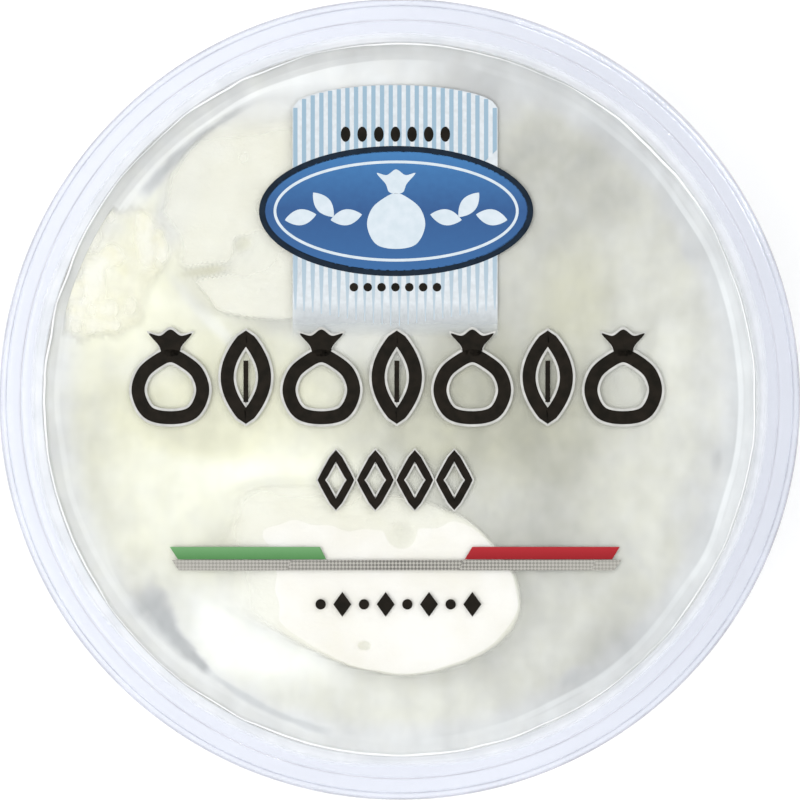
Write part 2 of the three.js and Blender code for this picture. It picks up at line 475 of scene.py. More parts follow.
def whey_liquid():
    """Cloudy whey: a milky veil over what is in it, thicker where it is deeper, pale where
    cream has drifted and where light is painted on it, darker where shade is painted on it,
    and from bluish by the wall to yellow-green. Lamps pass through it."""
    f = Finish("whey")
    broad = f.math("MULTIPLY_ADD", f.noise(5, stretch=(0.75, 1.5, 1), detail=2), 0.5, -0.25)
    small = f.math("MULTIPLY_ADD", f.noise(1.7, detail=2), 0.22, -0.11)
    pale = f.math("ADD", f.mark("pale"), f.math("ADD", broad, small))
    neutral = f.math("MINIMUM", f.math("MULTIPLY_ADD", pale, 0.40, 0.42), 0.92)
    blotch = f.math("MULTIPLY_ADD", f.noise(3.2, detail=1), 0.3, -0.15)
    hue = f.ramp(f.math("ADD", f.mark("yellow"), blotch), (0.0, (0.965, 0.992, 1.0)),
                 (0.2, (0.985, 1.0, 0.985)), (1.0, (1.0, 0.995, 0.78)))
    milk = f.shader("Diffuse", Color=f.between(1.0, neutral, hue, "MULTIPLY"))
    clear = f.shader("Transparent", Color=(0.97, 0.975, 0.95))
    seen = f.mixed(f.mark("veil"), clear, milk)
    shadow = f.node("LightPath").outputs["Is Shadow Ray"]
    return f.surface(f.mixed(shadow, seen, clear))


def seal_band_finish():
    """The heat seal: a milky band that fades out at both its edges."""
    f = Finish("heat_seal")
    colour = f.ramp(f.noise(4, detail=2), (0.35, (0.77, 0.79, 0.82)), (0.65, (0.85, 0.865, 0.89)))
    return f.film_of(f.mark("seal"), colour)


def clear_plastic(name, tint, milk, rim, share, roughness, ior):
    """Thin clear plastic: see-through with a tint, milkier where it is seen edge-on, with a
    painted shade there on its outer side in the rim's colour, standing in for the dark refraction
    at the edge, and glossy by its angle."""
    f = Finish(name)
    clear = f.shader("Transparent", Color=tint)
    thinner = tuple(c * 0.96 for c in milk)
    facing = f.node("LayerWeight", Blend=0.35).outputs["Facing"]
    cloudy = f.ramp(f.noise(18, detail=2), (0.3, thinner), (0.7, milk))
    grazing = f.ramp(facing, (0.35, grey(0)), (0.85, grey(1)))
    painted_edge_shade = f.math("MULTIPLY", f.mark("shaded"), grazing)
    body = f.shader("Diffuse", Color=f.between(painted_edge_shade, cloudy, rim))
    milky = f.ramp(facing, (0.0, grey(share[0])), (0.9, grey(share[1])))
    sheet = f.mixed(milky, clear, body)
    uneven = f.ramp(f.noise(8, detail=1), (0.42, grey(1)), (0.55, grey(0.45)))
    dulled = f.math("MULTIPLY", f.mark("outer"), uneven)
    shine = f.between(dulled, (0.97, 0.98, 1.0), grey(0.4))
    gloss = f.shader("Glossy", Roughness=roughness, Color=shine)
    glancing = f.math("MINIMUM", f.node("Fresnel", IOR=ior).outputs[0], 0.3)
    return f.surface(f.mixed(glancing, sheet, gloss))


def ink(name, colour, other, size=1.5):
    """A field of printed colour: two close shades in fine noise, with a faint satin."""
    f = Finish(name)
    return f.satin(f.ramp(f.noise(size), (0.35, colour), (0.65, other)))


def shaded_ink(name, low, high, *shades):
    """A printed colour that goes through shades from one height on the lid to another."""
    f = Finish(name)
    grain = f.math("MULTIPLY_ADD", f.noise(1.0), 0.16, -0.08)
    place = f.math("ADD", f.up_the_lid(low, high), grain)
    stops = [(k / (len(shades) - 1), colour) for k, colour in enumerate(shades)]
    return f.satin(f.ramp(place, *stops))


def veil_ink(name, colour, low, high):
    """A translucent white field that fades out from one height on the lid to another."""
    f = Finish(name)
    grain = f.math("MULTIPLY_ADD", f.noise(0.8, detail=1), 0.3, 0.7)
    return f.film_of(f.math("MULTIPLY", f.up_the_lid(low, high), grain), colour)


def dotted_ink(name, dark, light, size, reach):
    """A tint made of small dark squares on a lighter ground, halfway to the plain ground at
    its ends, which are at its reach."""
    f = Finish(name)
    place = f.node("Mapping", Vector=f.where, Rotation=(0, 0, 0.785)).outputs[0]
    dots = f.node("TexChecker", Vector=place, Color1=dark, Color2=light, Scale=1 / (size * MM))
    aside = f.math("ABSOLUTE", f.node("SeparateXYZ", Vector=f.where).outputs["X"])
    patchy = f.math("MULTIPLY", f.noise(1.2), 0.3)
    worn = f.math("MULTIPLY_ADD", aside, 0.5 / (reach * MM), patchy)
    shade = f.between(worn, dots.outputs["Color"], light)
    return f.surface(f.shader("Principled", Base_Color=shade, Roughness=0.4))


# ---- tub, film and seal


def wall_below_mouth(out):
    """The tub's side from under the mouth to the middle of the base, out millimetres outside
    its inner surface: ledge, tapered wall, base corner, foot and push-up."""
    ledge = TUB_HEIGHT - LEDGE_DEPTH
    corner_top = WALL + BASE_CORNER * (1 - math.sin(DRAFT))
    corner_radius = LEDGE_RADIUS - (ledge - LEDGE_ROUND - corner_top) * math.tan(DRAFT)
    corner_middle = corner_radius - BASE_CORNER * math.cos(DRAFT)
    foot_inner = corner_middle - FOOT_WIDTH
    upper_middle = LEDGE_RADIUS + LEDGE_WIDTH + out - LEDGE_ROUND
    lower_middle = LEDGE_RADIUS + LEDGE_ROUND + out
    upper = arc(upper_middle, ledge + LEDGE_ROUND - out, LEDGE_ROUND, 0, -QUARTER, 7)
    lower = arc(lower_middle, ledge - LEDGE_ROUND - out, LEDGE_ROUND, QUARTER, math.pi, 7)
    corner = arc(corner_middle, WALL + BASE_CORNER, BASE_CORNER + out, -DRAFT, -QUARTER, 16)
    slope = np.linspace(0, 1, 9)[:, None]
    foot = [foot_inner, WALL - out]
    raised = foot + smooth_step(slope, 0, 1) * [0, PUSH_UP] - slope * [PUSH_UP, 0]
    wall = np.linspace(lower[-1], corner[0], 24)[1:-1]
    floor = np.linspace(raised[-1], [2.0, WALL + PUSH_UP - out], 14)[1:]
    return np.concatenate([upper, lower, wall, corner, raised, floor])


def tub_section():
    """Half a section of the whole tub: up the outside, over the flange, down the inside."""
    under = TUB_HEIGHT - FLANGE_THICKNESS
    skirt_inner = FLANGE_RADIUS - FLANGE_THICKNESS
    skirt_end = TUB_HEIGHT - SKIRT_DEPTH
    lip = FLANGE_THICKNESS / 2
    flange = [
        arc(MOUTH_RADIUS + WALL + 0.8, under - 0.8, 0.8, math.pi, QUARTER, 6),
        arc(skirt_inner - 0.6, under - 0.6, 0.6, QUARTER, 0, 6),
        arc(FLANGE_RADIUS - lip, skirt_end + lip, lip, math.pi, TURN, 10),
        arc(FLANGE_RADIUS - ROLL_RADIUS, TUB_HEIGHT - ROLL_RADIUS, ROLL_RADIUS, 0, QUARTER, 10),
    ]
    across = np.linspace(1, -1, 15)
    dip = TUB_HEIGHT - GROOVE_DEPTH * np.cos(across * QUARTER) ** 2
    groove = points_of(GROOVE_RADIUS + across * GROOVE_HALF_WIDTH, dip)
    mouth = arc(*MOUTH_MIDDLE, MOUTH_ROUND, QUARTER, math.pi, 10)
    outside, inside = wall_below_mouth(WALL)[::-1], wall_below_mouth(0)
    return np.concatenate([outside, *flange, groove, mouth, inside])


def film_height(x, y):
    """The film's upper face: level, with a slight ripple from two crossed waves."""
    return FILM_LEVEL + FILM_RIPPLE * np.sin(x / 7 + 1.3 * np.sin(y / 11)) * np.cos(y / 8)


def lid_film():
    """A round sheet: rings out along its upper face, over its thin rim and back below."""
    out = np.append(np.linspace(0.5, FILM_RADIUS - 0.1, 60), FILM_RADIUS)
    below = circling(round_turn(TUB_SIDES), out[:, None], FILM_UNDERSIDE)
    x, y = below[..., 0], below[..., 1]
    return np.concatenate([points_of(x, y, film_height(x, y)), below[::-1]])


def seal_bead():
    """The ridge of sealing layer squeezed out inside the mouth: a small oval carried round
    it, whose radius wanders and kinks and whose thickness comes and goes."""
    angle, around = round_turn(900)[:, None], round_turn(10)
    round_mouth = circling(angle, MOUTH_RADIUS, 0)
    wander = 0.35 * np.abs(lumps(round_mouth, 9, 11)) + 0.10 * lumps(round_mouth, 3, 12)
    thick = np.maximum(0.13 + 0.12 * lumps(round_mouth, 12, 13), 0.04)
    radius = MOUTH_RADIUS + 0.1 - wander + thick * np.cos(around)
    return circling(angle, radius, TUB_HEIGHT - 0.02 + 0.8 * thick * (np.sin(around) - 1))


def seal_band():
    """A thin flat ring round the mouth under the film, and how milky each point of it is:
    soon thick from its inner edge and fading outwards over an uneven breadth, and broader
    and thicker towards the left by a cosine, a painted light that makes it paler on the lamp's
    side."""
    across = np.append(np.linspace(0, 1, 15), np.linspace(1, 0, 15))[:, None]
    angle = round_turn(TUB_SIDES)[None, :]
    round_mouth = circling(angle, MOUTH_RADIUS, 0)
    painted_light_to_left = (1 - np.cos(angle)) / 2
    breadth = 1.85 + 0.15 * painted_light_to_left + 0.4 * lumps(round_mouth, 12, 14)
    radius = MOUTH_RADIUS + 0.15 - 0.1 * painted_light_to_left + across * breadth
    height = TUB_HEIGHT + np.where(np.arange(30) < 15, 0.015, 0.006)[:, None]
    # Painted light: the band milkier, so paler, towards the left.
    thickest = 0.55 + 0.31 * painted_light_to_left
    milky = thickest * smooth_step(across, 0, 0.16) * (1 - smooth_step(across, 0.5, 1))
    return circling(angle, radius, height), milky


# ---- burratas


def pressed(value, limit, softness=SOFTNESS):
    """value where it is well below the limit, and rounded softly against it above."""
    room = (limit - value) / softness
    return np.where(room >= 30, value, limit - softness * np.log1p(np.exp(np.minimum(room, 30))))


def wall_reach(height):
    """How far from the axis a pouch may reach at a height: to the tapered wall, less the
    round of the base corner, and never past the wall's top."""
    base = WALL + BASE_CORNER
    top = TUB_HEIGHT - LEDGE_DEPTH - LEDGE_ROUND
    wall = LEDGE_RADIUS - (top - np.clip(height, base, top)) * math.tan(DRAFT)
    in_corner = np.clip((base - height) / BASE_CORNER, 0, 1)
    return wall - BASE_CORNER * (1 - np.sqrt(1 - in_corner**2)) - 2 * CLEARANCE


def press_into_tub(points, name):
    """Points moved to where the neighbour, the film, the base and the wall let them be."""
    side = {CONTACT["first"]: 1, CONTACT["second"]: -1}.get(name, 0)
    if side:
        towards = np.append(heading_of(CONTACT["facing"]), 0) * side
        limit = towards[:2] @ CONTACT["at"] - CLEARANCE / 2
        reach = points @ towards
        points = points + (pressed(reach, limit) - reach)[..., None] * towards
    z = pressed(points[..., 2], TUB_HEIGHT - CLEARANCE)
    z = -pressed(-z, -(WALL + PUSH_UP + CLEARANCE))
    distance = np.hypot(points[..., 0], points[..., 1])
    share = pressed(distance, wall_reach(z)) / distance
    return points_of(points[..., 0] * share, points[..., 1] * share, z)


def pouch_radius(along, half, waist, crown, neck):
    """The pouch's radius as a share of half its width: an ellipse for the body, run together
    by fourth powers with the tied waist and the rounded crown past it."""
    end = half[0] + neck
    body = np.sqrt(np.maximum(0, 1 - (along / half[0]) ** 2))
    flare = smooth_step(along, half[0] * 0.96, end - neck * 0.4)
    past = np.maximum(0, (along - end + CROWN_ROUND) / CROWN_ROUND)
    tip = np.sqrt(np.maximum(0, 1 - past**2))
    start = smooth_step(along, half[0] * 0.55, half[0] * 0.95)
    tied = blend(waist, crown, flare) / half[1] * tip * start
    return (body**4 + tied**4) ** 0.25


def folds_and_slits(points):
    """How far the skin near the lid is drawn down: a steep drop along one side of each fold
    that comes back by an exponential, and a smooth hollow in the ellipse of each slit and
    of each sag."""
    x, y = points[..., 0], points[..., 1]
    near_lid = smooth_step(points[..., 2], TUB_HEIGHT - 9, TUB_HEIGHT - 4)
    down = np.zeros(x.shape)
    for start, end, depth, fade in FOLDS:
        step = np.array(end) - start
        length = np.linalg.norm(step)
        ahead = step / length
        along = ((x - start[0]) * ahead[0] + (y - start[1]) * ahead[1]) / length
        bow = 0.12 * length * np.sin(np.clip(along, 0, 1) * math.pi)
        across = (y - start[1]) * ahead[0] - (x - start[0]) * ahead[1] + bow
        held = smooth_step(along, -0.1, 0.25) * smooth_step(1 - along, -0.1, 0.25)
        back = np.exp(-np.maximum(across, 0) / fade)
        down += depth * held * smooth_step(across, -0.1, 0.5) * back
    for *place, depth in SLITS:
        down += depth * np.exp(-(within(x, y, *place) ** 4))
    for *place, depth in SAGS:
        down += depth * (1 - smooth_step(within(x, y, *place), 0.5, 1.5))
    return down * near_lid


def burrata(name, place, heading, half, bend, rise, waist, crown, neck, unevenness, curds):
    """A tied pouch: rings along its axis, closest at its ends, of points round it. Pleats and
    fine gathers deepen towards the neck, curds swell its crown, the axis bends and rises,
    and the whole is pressed into the tub. Returns the points and how creamy each one is."""
    polar = (np.arange(POUCH_RINGS) + 0.5) * math.pi / POUCH_RINGS
    along = (neck / 2 + (half[0] + neck / 2) * np.cos(polar))[:, None]
    around = round_turn(POUCH_SIDES)[None, :]
    gathered = smooth_step(along, half[0] * 0.25, half[0])
    pleat = 1 + PLEAT_DEPTH * gathered * np.cos(PLEATS * around + np.sin(2 * around + unevenness))
    gathers = 0.02 * gathered * np.cos(26 * around + 2 * np.sin(3 * around) + unevenness)
    lump = 1 + 0.025 * np.sin(3 * around + along / 6 + unevenness)
    radius = pouch_radius(along, half, waist, crown, neck) * (pleat + gathers) * lump
    tall = blend(half[2], half[1], smooth_step(along, half[0] * 0.5, half[0]))
    seed = int(unevenness * 10)
    rim = points_of(along, radius * half[1] * np.cos(around), radius * tall * np.sin(around))
    crumbly = smooth_step(along, half[0] * 0.72, half[0] * 1.0)
    swell = np.abs(lumps(rim, 3.4, seed + 1)) + 0.6 * np.abs(lumps(rim, 1.5, seed + 2))
    skin = 0.06 * lumps(rim * [1 / 4, 1, 1], 1.1, seed + 3) + 0.2 * lumps(rim, 5, seed + 4)
    thicker = curds * crumbly * (swell - 0.25) + skin
    outer = points_of(np.cos(around), np.sin(around)) * thicker[..., None]
    side = rim[..., 1] + outer[..., 0]
    swing = bend * along
    ahead = heading_of(heading)
    across = np.array([ahead[1], -ahead[0]])
    forward = np.sin(swing) / bend - side * np.sin(swing)
    drift = (1 - np.cos(swing)) / bend + side * np.cos(swing)
    flat = np.array(place[:2]) + forward[..., None] * ahead + drift[..., None] * across
    z = place[2] + rim[..., 2] + outer[..., 1]
    z = z + rise * smooth_step(along, half[0] * 0.3, half[0] + neck)
    points = press_into_tub(np.concatenate([flat, z[..., None]], -1), name)
    points[..., 2] -= folds_and_slits(points)
    points[..., 2] -= 0.05 * (1 + lumps(points, 2.5, 21)) * smooth_step(points[..., 2], 38, 41)
    cream = np.clip(crumbly * 0.9 + 0.25 * lumps(rim, 9, seed + 5), 0, 1)
    return points, cream


def curd_mass():
    """The loose curd at the back left burrata's open end: rings out from its middle to an
    uneven edge. Its face is flattened by the film, creased between soft clots and pitted,
    and its edge rounds over to a back lower down."""
    share = np.linspace(0.01, 1, 90)[:, None]
    turn = round_turn(240)[None, :]
    unit = circling(turn, 1, 0)
    uneven = 1 + 0.12 * lumps(unit, 0.45, 51) + 0.07 * lumps(unit, 0.16, 52)
    ahead = heading_of(CURDS["turn"])
    along = share * uneven * np.cos(turn) * CURDS["half"][0]
    aside = share * uneven * np.sin(turn) * CURDS["half"][1]
    x = CURDS["middle"][0] + along * ahead[0] - aside * ahead[1]
    y = CURDS["middle"][1] + along * ahead[1] + aside * ahead[0]
    level = np.hypot(x, y)
    reach = pressed(level, LEDGE_RADIUS + LEDGE_WIDTH - 0.25, 0.3) / level
    x, y = x * reach, y * reach
    place = points_of(x, y, 0)
    creases = 1 - smooth_step(np.abs(lumps(place, 2.6, 53)), 0, 0.55)
    small = 1 - smooth_step(np.abs(lumps(place, 1.1, 54)), 0, 0.5)
    low = 0.17 * creases + 0.06 * small + 0.10 * (1 + lumps(place, 4, 55))
    edge = 1 - np.sqrt(np.clip(1 - np.clip((share - 0.82) / 0.18, 0, 1) ** 2, 0, 1))
    face = TUB_HEIGHT - 0.47 - low - edge * CURDS["thick"]
    back = TUB_HEIGHT - 0.7 - CURDS["thick"] - 0.6
    face, back = points_of(x, y, face), points_of(x, y, back)
    # Creamier, so yellower and a little darker, in the creases: partly the curd's own colour,
    # partly painted shade.
    cream = 0.45 + 0.45 * lumps(place * [1, 0.5, 1], 2.2, 56) + 0.25 * creases
    cream = np.clip(cream, 0, 1)
    return np.concatenate([face, back[::-1]]), np.concatenate([cream, cream[::-1]])


# ---- whey


def sliver_share(x, y, angles, radii, halves):
    """1 along an arc whose radius and half width go evenly from one end to the other, and
    0 outside it, with a soft uneven edge."""
    start, end = angles
    along = np.clip((np.degrees(np.arctan2(y, x)) % 360 - start) / (end - start), 0, 1)
    place = points_of(x, y, 0)
    uneven = 1 + 0.35 * lumps(place, 2.6, 61) + 0.2 * lumps(place, 1.1, 62)
    half = blend(*halves, along) * uneven
    out = np.abs(np.hypot(x, y) - blend(*radii, along)) / half
    ends = smooth_step(along, 0, 0.26) * smooth_step(1 - along, 0, 0.1)
    return (1 - smooth_step(out, 0.3, 1.4)) * ends


def whey():
    """The liquid: out over its level top, which dips where there is air by the wall and
    climbs to the lid at the mouth, down the side just inside the tub's wall, and in along
    the base. The top's rings are closer together past the ledge."""
    inner = np.linspace(0.4, LEDGE_RADIUS - 2, WHEY_RINGS - WHEY_EDGE_RINGS)
    outer = np.linspace(LEDGE_RADIUS - 2, MOUTH_RADIUS + 0.85, WHEY_EDGE_RINGS + 1)
    radius = np.append(inner[:-1], outer)
    climb = smooth_step(radius, MOUTH_RADIUS - 0.5, MOUTH_RADIUS + 0.6)
    top = points_of(radius, blend(WHEY_LEVEL, TUB_HEIGHT - 0.03, climb))
    mouth = arc(*MOUTH_MIDDLE, MOUTH_ROUND - WHEY_IN_WALL, math.radians(105), math.pi, 5)
    grid = turned(np.concatenate([top, mouth, wall_below_mouth(WHEY_IN_WALL)]), WHEY_SIDES)
    x, y = grid[:WHEY_RINGS, :, 0], grid[:WHEY_RINGS, :, 1]
    dip = np.zeros(x.shape)
    for *place, _, depth in SHADE_SLIVERS:
        dip += depth * sliver_share(x, y, *place)
    grid[:WHEY_RINGS, :, 2] -= dip
    return grid


def averaged(values):
    """Each value averaged with its four neighbours."""
    beside = np.roll(values, 1, 1) + np.roll(values, -1, 1)
    padded = np.pad(values, ((1, 1), (0, 0)), mode="edge")
    return (2 * values + beside + padded[2:] + padded[:-2]) / 6


def depth_to_cheese(grid, parts):
    """How far it is from each point of the whey's skin to the cheese: straight down under
    the top, and straight in from the side and base, up to 40 mm."""
    points, faces = together(parts)
    tree = bvhtree.BVHTree.FromPolygons(points.tolist(), faces)
    depth = np.full(grid.shape[:2], 40.0)
    for at in np.ndindex(*grid.shape[:2]):
        x, y, z = grid[at]
        on_top = at[0] < WHEY_RINGS
        start = (x, y, TUB_HEIGHT + 5) if on_top else (x, y, z)
        level = math.hypot(x, y)
        up = z < WALL + PUSH_UP + 1
        ahead = (0, 0, -1) if on_top else (0, 0, 1) if up else (-x / level, -y / level, 0)
        found = tree.ray_cast(start, ahead, 60)
        if found[0]:
            depth[at] = max(0, z - found[0].z) if on_top else found[3]
    return depth


def milkiness(grid, depth):
    """The veil, a share that grows with depth, how pale the whey is and how yellow: drifts of
    cream and of painted light and shade laid one over the other, streaked outwards from the
    middle, painted shade by the wall that changes round it and a paler band of painted light over
    the ledge, even down the side, and painted shade, darker and bluish, in the slivers."""
    x, y = grid[..., 0], grid[..., 1]
    level = np.hypot(x, y)
    around = np.arctan2(y, x)
    round_it = circling(around, 34, level / 5)
    pale, yellow = np.full(x.shape, 0.32), np.full(x.shape, 0.5)
    # Drifts of cream, and painted light and shade where the whey is made paler or darker.
    for *place, drift_and_shade_pale, drift_yellow in DRIFTS_AND_SHADING:
        over = 1 - smooth_step(within(x, y, *place), 0.35, 1.35)
        pale, yellow = blend(pale, drift_and_shade_pale, over), blend(yellow, drift_yellow, over)
    streaks = lumps(round_it, 2.6, 31) * smooth_step(level, 15, 35)
    pale = pale + 0.07 * streaks + 0.07 * lumps(grid, 7, 32)
    from_ledge = level - LEDGE_RADIUS - 0.2 - 0.25 * lumps(round_it, 5, 33)
    ledge = smooth_step(from_ledge, -0.45, -0.25) * (1 - smooth_step(from_ledge, 0.3, 0.6))
    beyond = smooth_step(level, LEDGE_RADIUS + 0.3, LEDGE_RADIUS + 0.9)
    to_right, to_back = np.cos(around), np.sin(around)
    # Painted light and shade by the wall: the whey there paler towards the right and front and
    # darker towards the back.
    painted_shade_by_wall = 0.63 - 0.15 * to_back + 0.05 * np.abs(to_right) + 0.12 * to_right
    for middle, breadth, darker in WALL_SHADES:
        painted_shade_by_wall = painted_shade_by_wall - darker * np.exp(-(((around - middle) / breadth) ** 2))
    # Painted light over the ledge: a paler band on its step, most to the right and left.
    painted_light_over_ledge = painted_shade_by_wall + 0.18 * to_right**2 - 0.04
    pale = blend(blend(pale, painted_shade_by_wall - 0.08, beyond), painted_light_over_ledge, 0.85 * ledge)
    inwards = 1 - smooth_step(level, LEDGE_RADIUS - 4, LEDGE_RADIUS)
    yellow = blend(0.14 * (1 - to_right), yellow, inwards)
    on_top = smooth_step(grid[..., 2], WHEY_LEVEL - 3, WHEY_LEVEL - 1)
    below = 0.8 + 0.06 * lumps(grid, 9, 34)
    pale, yellow = blend(below, pale, on_top), blend(0.6, yellow, on_top)
    # The slivers: painted shade, darker and bluish, in the gaps by the wall.
    for *place, sliver_shade_pale, _ in SHADE_SLIVERS:
        share = sliver_share(x, y, *place) * on_top
        pale, yellow = blend(pale, sliver_shade_pale, share), blend(yellow, 0.0, share)
    veil = 0.03 + 0.67 * smooth_step(depth, 0, 0.6) + 0.28 * (1 - np.exp(-depth / 3))
    return np.clip(veil, 0, 1), np.clip(pale, 0, 1.2), np.clip(yellow, 0, 1)


# ---- print on the film


def on_film(flat, layer, lift):
    """Places on the lid raised to lie on the film, lift above the underside of a layer."""
    z = film_height(flat[..., 0], flat[..., 1]) + INK_LIFT + layer * INK_LAYER + lift
    return np.concatenate([flat, z[..., None]], -1)


def field(outline, layer, rings=10):
    """A filled patch of ink: the outline shrunk towards its middle for its face, and again
    for its back."""
    middle = outline.mean(0)
    share = np.linspace(0.02, 1, rings)[:, None, None]
    flat = middle + (outline - middle) * share
    top = on_film(flat, layer, INK_THICKNESS)
    return closed(np.concatenate([top, on_film(flat, layer, 0)[::-1]]))


def stroke(path, width, layer, loop=True):
    """A line of ink: a path with its width laid off square to it on both sides."""
    ahead = np.roll(path, -1, 0) - np.roll(path, 1, 0) if loop else np.gradient(path, axis=0)
    ahead = ahead / np.linalg.norm(ahead, axis=1, keepdims=True)
    aside = points_of(-ahead[:, 1], ahead[:, 0]) * np.reshape(width, (-1, 1)) / 2
    left, right = path + aside, path - aside
    corners = [on_film(left, layer, INK_THICKNESS), on_film(left, layer, 0)]
    corners += [on_film(right, layer, 0), on_film(right, layer, INK_THICKNESS)]
    return closed(np.stack(corners, 1), joined=loop)


def ellipse(middle, half, count=96):
    """An ellipse's outline, in that many steps."""
    angle = round_turn(count)
    return middle + points_of(np.cos(angle), np.sin(angle)) * half


def straight_sided(corners, step=0.8):
    """An outline with straight sides between corners, in steps of about that length."""
    points = []
    for start, end in zip(corners, corners[1:] + corners[:1]):
        start, end = np.array(start, float), np.array(end, float)
        count = max(2, int(np.linalg.norm(end - start) / step))
        points.append(start + (end - start) * np.arange(count)[:, None] / count)
    return np.concatenate(points)


def diamond(half_width, half_height, step=0.8):
    """An upright diamond's outline."""
    corners = [(0, -half_height), (half_width, 0), (0, half_height), (-half_width, 0)]
    return straight_sided(corners, step)


def curved_through(corners, steps=8):
    """A closed curve through points, each span a cubic set by the four points round it."""
    knots = np.array(corners, float)
    before, after, next_after = (np.roll(knots, k, 0) for k in (1, -1, -2))
    t = np.linspace(0, 1, steps, endpoint=False)[:, None, None]
    slope_start, slope_end = (after - before) / 2, (next_after - knots) / 2
    curve = blend(knots, after, smooth_step(t, 0, 1))
    curve = curve + (t**3 - 2 * t**2 + t) * slope_start + (t**3 - t**2) * slope_end
    return curve.transpose(1, 0, 2).reshape(-1, 2)


def placed(outline, at, scale=1.0, turn=0):
    """An outline scaled, turned and set down at a place."""
    ahead = heading_of(turn)
    x, y = outline[:, 0] * scale, outline[:, 1] * scale
    return points_of(x * ahead[0] - y * ahead[1], x * ahead[1] + y * ahead[0]) + at


def mirrored(foot, right, head):
    """A curve from a foot up through points on the right to a head, and their mirror."""
    left = [(-x, y) for x, y in reversed(right)]
    return curved_through([(0, foot), *right, (0, head), *left])


def leaf_outline(half_width, half_height):
    """A pointed oval: its half-width follows a sine raised to a power from tip to tip."""
    share = np.linspace(0, 1, 25)
    height = half_height * (2 * share - 1)
    width = half_width * np.sin(share * math.pi) ** 0.85
    right = points_of(width, height)
    return np.concatenate([right, right[-2:0:-1] * [-1, 1]])


# A round bag drawn to a blunt point, the flared tuft above it, and a leaf.
BAG = mirrored(-5.85, [(3.2, -5.1), (4.65, -2.2), (3.9, 0.6), (1.8, 2.4)], 3.1)
TUFT = mirrored(3.0, [(1.15, 3.3), (1.7, 4.6), (3.1, 6.3), (1.5, 6.0)], 6.9)
LEAF = leaf_outline(2.7, 5.8)

PANEL_MIDDLE = -0.65
PANEL_HALF = 14.4
PANEL_FOOT = 10.5
PLAQUE_MIDDLE = (-0.5, 27.2)
PLAQUE_HALF = (19.0, 8.6)
STROKE_WIDE = 1.9
STROKE_FINE = 1.1


def arch_height(share):
    """The panel's arch: an ellipse's height at a share of the way out, just short of its end."""
    return 42.0 + 3.4 * np.sqrt(1 - share**2 * 0.999)


def print_stripes():
    """Upright stripes under an arch that thin out to points at their feet."""
    parts = []
    for off in np.linspace(-PANEL_HALF, PANEL_HALF, 24):
        share = off / PANEL_HALF
        y = np.linspace(arch_height(share), PANEL_FOOT + 2.5 * abs(share), 36)
        width = 0.62 * (0.2 + 0.8 * smooth_step(y, PANEL_FOOT, 19))
        parts.append(stroke(points_of(PANEL_MIDDLE + off, y), width, 0, loop=False))
    return parts


def print_panel():
    """The arched field behind the stripes: a flat patch inside an outline of points."""
    share = np.linspace(1, -1, 41)
    x = PANEL_MIDDLE + share * (PANEL_HALF + 0.4)
    upper, lower = points_of(x, arch_height(share)), points_of(x, PANEL_FOOT - 1.5)
    return field(np.concatenate([upper, lower[::-1]]), -0.5, rings=6)


def print_plaque():
    """The oval plaque's field, its dark rim, and its light keyline and devices."""
    middle, half = PLAQUE_MIDDLE, np.array(PLAQUE_HALF)
    body = [field(ellipse(middle, half), 1, rings=16)]
    rim = [stroke(ellipse(middle, half + 0.35, 160), 0.9, 1)]
    devices = [stroke(ellipse(middle, half - 1.5, 160), 0.4, 2)]
    for outline in (BAG, TUFT):
        devices.append(field(placed(outline, (middle[0], middle[1] - 0.2), 0.9), 2))
    for side in (-1, 1):
        for k in range(3):
            at = (middle[0] + side * (7.2 + 3.3 * k), middle[1] + (0.9 if k % 2 else -0.9))
            leaf = placed(leaf_outline(1.15, 2.3), at, 1, side * (k % 2 * 60 - 100))
            devices.append(field(leaf, 2))
    return body, rim, devices


def print_frieze():
    """Outlines of tied bags and veined leaves by turns, their light edging beneath, two
    smaller rows below and the small marks round the plaque."""
    dark, edging = [], []
    for k in range(7):
        at = (-33.1 + 10.9 * k, 3.2)
        outline = placed(LEAF if k % 2 else BAG, at)
        dark.append(stroke(outline, STROKE_WIDE, 1))
        edging.append(stroke(outline, STROKE_WIDE + 0.7, 0))
        if k % 2:
            vein = points_of(at[0], at[1] + np.linspace(-3.6, 2.4, 12))
            dark.append(stroke(vein, 0.7, 1, loop=False))
        else:
            dark.append(field(placed(TUFT, at), 1, rings=6))
            edging.append(field(placed(TUFT, (at[0], at[1] - 0.3), 1.1), 0, rings=6))
    for k in range(4):
        outline = placed(diamond(2.1, 3.8), (-9.2 + 5.7 * k, -11.65))
        dark.append(stroke(outline, STROKE_FINE, 1))
        edging.append(stroke(outline, STROKE_FINE + 0.5, 0))
    for k in range(8):
        at = (-11.4 + 3.13 * k, -29.6)
        outline = placed(diamond(1.3, 1.8, 0.5), at) if k % 2 else ellipse(at, (0.75, 0.75), 24)
        dark.append(field(outline, 1, rings=4))
    for k in range(7):
        dark.append(field(ellipse((-6.6 + 2.0 * k, 16.2), (0.62, 0.62), 20), 1, rings=3))
        dark.append(field(ellipse((-7.8 + 2.4 * k, 38.3), (0.7, 1.1), 20), 1, rings=3))
    return dark, edging


GREY_REACH = 32.0
# The bars' layers and corners.
BARS = {
    "green": (1, [(-33.2, -21.3), (-11.5, -21.3), (-10.6, -23.1), (-32.0, -23.1)]),
    "red": (1, [(10.5, -21.3), (31.8, -21.3), (30.7, -23.1), (9.4, -23.1)]),
    "grey": (0, [(-32.9, -23.2), (GREY_REACH, -23.2), (31.0, -24.7), (-31.9, -24.7)]),
}


# ---- making it


